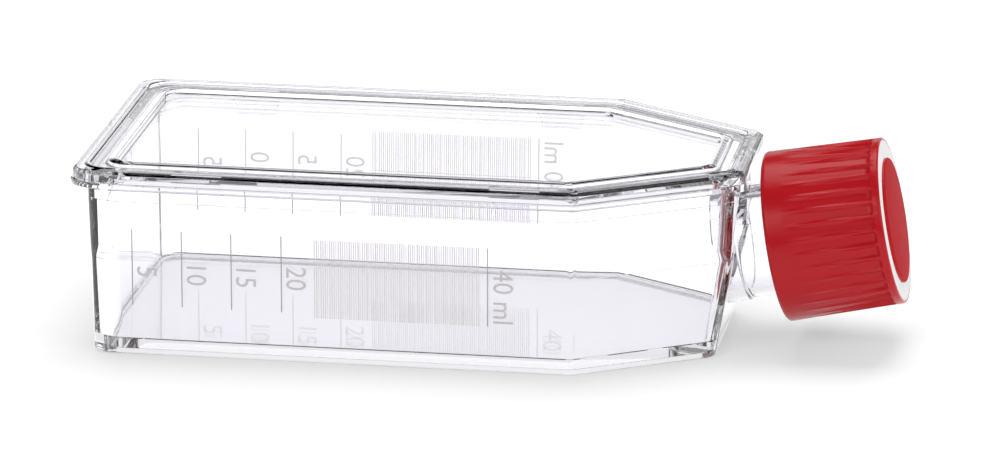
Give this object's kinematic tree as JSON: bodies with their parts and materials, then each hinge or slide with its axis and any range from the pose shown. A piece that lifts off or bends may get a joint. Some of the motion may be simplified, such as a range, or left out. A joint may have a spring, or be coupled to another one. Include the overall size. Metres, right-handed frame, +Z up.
{
  "type": "cell culture flask",
  "caption": "Flat clear culture flask with a tapered end, a canted screw neck and a ribbed screw cap that has a vent membrane.",
  "frame": {"origin": "on the table, under the middle of the bounding box of the flask lying on its growth surface, cap included", "axes": "+X from the back end towards the cap, +Y to the left of someone looking towards the cap, +Z up from the growth surface to the top plate"},
  "size_m": [0.101, 0.0452, 0.0257],
  "materials": {
    "clear_polystyrene": "clear injection-moulded polystyrene",
    "red_polyethylene": "semi-gloss red moulded polyethylene",
    "white_membrane": "matte white filter membrane"
  },
  "bodies": {
    "flask": {"flask_body": "clear_polystyrene", "top_plate": "clear_polystyrene"},
    "cap_carrier": {"vent_membrane": "white_membrane"},
    "cap": {"screw_cap": "red_polyethylene"}
  },
  "joints": [
    {"name": "cap_lift", "type": "slide", "parent": "flask", "child": "cap_carrier", "axis": [0.9816, 0, 0.1908], "range_m": [0, 0.0161]},
    {"name": "cap_turn", "type": "hinge", "parent": "cap_carrier", "child": "cap", "pos_m": [0.03001, 0, 0.01205], "axis": [0.9816, 0, 0.1908], "range_deg": [0, 1440]}
  ],
  "couplings": [
    {"joint": "cap_lift", "follows": "cap_turn", "m_per_rad": 0.00063662}
  ]
}
